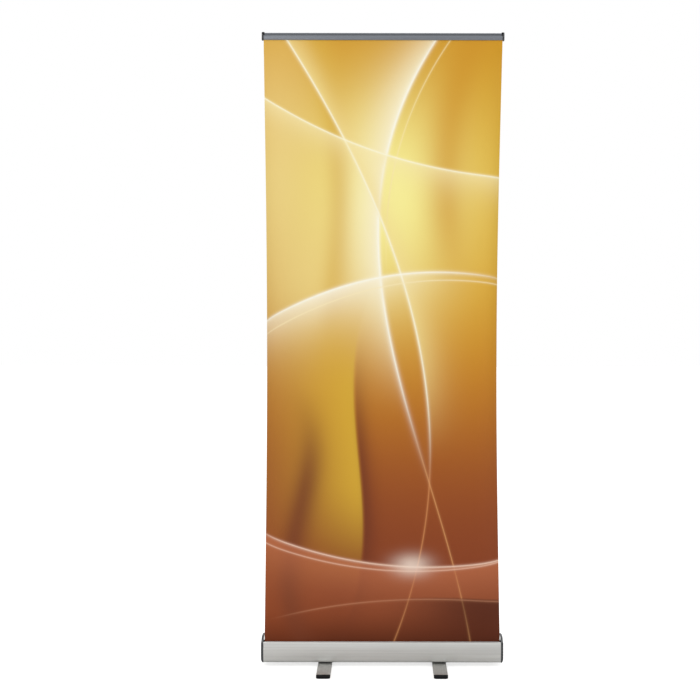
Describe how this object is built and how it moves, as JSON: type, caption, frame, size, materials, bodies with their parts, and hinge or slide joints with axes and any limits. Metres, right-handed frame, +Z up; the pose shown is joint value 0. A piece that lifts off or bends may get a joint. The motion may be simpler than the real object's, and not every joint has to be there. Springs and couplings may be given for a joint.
{
  "type": "roll-up banner stand",
  "caption": "Retractable floor banner stand: spring roller base with swing-out feet, leaning sectional pole and a hinged clamp rail holding a printed film.",
  "frame": {"origin": "on the floor under the middle of the base", "axes": "+Z up along the banner, +X to the right seen from the front, front towards -Y"},
  "size_m": [0.8236, 0.3816, 2.1431],
  "materials": {
    "anodised_aluminium": "satin silver anodised, fine extrusion grain",
    "rail_aluminium": "satin anodised, a shade darker than the base",
    "cap_plastic": "moulded dark grey plastic, fine texture",
    "black_plastic": "moulded black plastic",
    "tip_rubber": "matt black rubber",
    "white_plastic": "natural white nylon",
    "steel": "zinc plated steel",
    "printed_film": "printed banner film, soft sheen, gold and amber light sweeps",
    "film_back": "unprinted white film",
    "cord_cover": "elastic cord with a black woven cover"
  },
  "bodies": {
    "base": {"base_housing": "anodised_aluminium", "end_cap_left": "cap_plastic", "end_cap_right": "cap_plastic", "end_cap_screw_left_front": "steel", "end_cap_screw_left_rear": "steel", "end_cap_screw_left_top": "steel", "end_cap_screw_right_front": "steel", "end_cap_screw_right_rear": "steel", "end_cap_screw_right_top": "steel", "idler_pin": "steel", "spring_spindle": "steel", "torsion_spring": "steel", "pole_socket": "black_plastic", "foot_nut_left": "steel", "foot_nut_right": "steel", "foot_washer_left": "white_plastic", "foot_washer_right": "white_plastic", "foot_pivot_screw_left": "steel", "foot_pivot_screw_right": "steel", "banner_leader": "film_back", "banner_graphic": "printed_film"},
    "roller": {"roller_tube": "steel", "roller_idler_plug": "black_plastic", "roller_spring_plug": "black_plastic", "spring_anchor_plug": "white_plastic", "banner_roll": "film_back"},
    "foot_left": {"foot_bar_left": "anodised_aluminium", "foot_tip_front_left": "tip_rubber", "foot_tip_rear_left": "tip_rubber"},
    "foot_right": {"foot_bar_right": "anodised_aluminium", "foot_tip_front_right": "tip_rubber", "foot_tip_rear_right": "tip_rubber"},
    "pole": {"pole_foot_plug": "black_plastic", "pole_tube_lower": "anodised_aluminium", "pole_ferrule_lower": "steel", "pole_tube_middle": "anodised_aluminium", "pole_ferrule_upper": "steel", "pole_tube_upper": "anodised_aluminium", "pole_top_hook": "black_plastic", "shock_cord": "cord_cover", "cord_stop_bottom": "white_plastic", "cord_stop_top": "white_plastic"},
    "rail": {"rail_rear_jaw": "rail_aluminium", "rail_cap_left": "cap_plastic", "rail_cap_right": "cap_plastic"},
    "rail_jaw": {"rail_front_jaw": "rail_aluminium"}
  },
  "joints": [
    {"name": "rail_slide", "type": "slide", "parent": "base", "child": "rail", "axis": [0, 0, 1], "range_m": [-2.015, 0], "deforming": ["banner_graphic"]},
    {"name": "roller_spin", "type": "hinge", "parent": "base", "child": "roller", "pos_m": [0, -0.00848, 0.05], "axis": [1, 0, 0], "range_deg": [0, 6000]},
    {"name": "foot_left_swivel", "type": "hinge", "parent": "base", "child": "foot_left", "pos_m": [-0.19449, 0, 0.007], "axis": [0, 0, 1], "range_deg": [0, 90]},
    {"name": "foot_right_swivel", "type": "hinge", "parent": "base", "child": "foot_right", "pos_m": [0.19449, 0, 0.007], "axis": [0, 0, -1], "range_deg": [0, 90]},
    {"name": "pole_turn", "type": "hinge", "parent": "base", "child": "pole", "pos_m": [0, 0.02498, 0.0163], "axis": [0, -0.0126, 0.9999], "continuous": true},
    {"name": "jaw_open", "type": "hinge", "parent": "rail", "child": "rail_jaw", "pos_m": [0, -0.02398, 2.1347], "axis": [-1, 0, 0], "range_deg": [0, 45]}
  ],
  "couplings": [
    {"joint": "roller_spin", "follows": "rail_slide", "rad_per_m": -51.3}
  ]
}
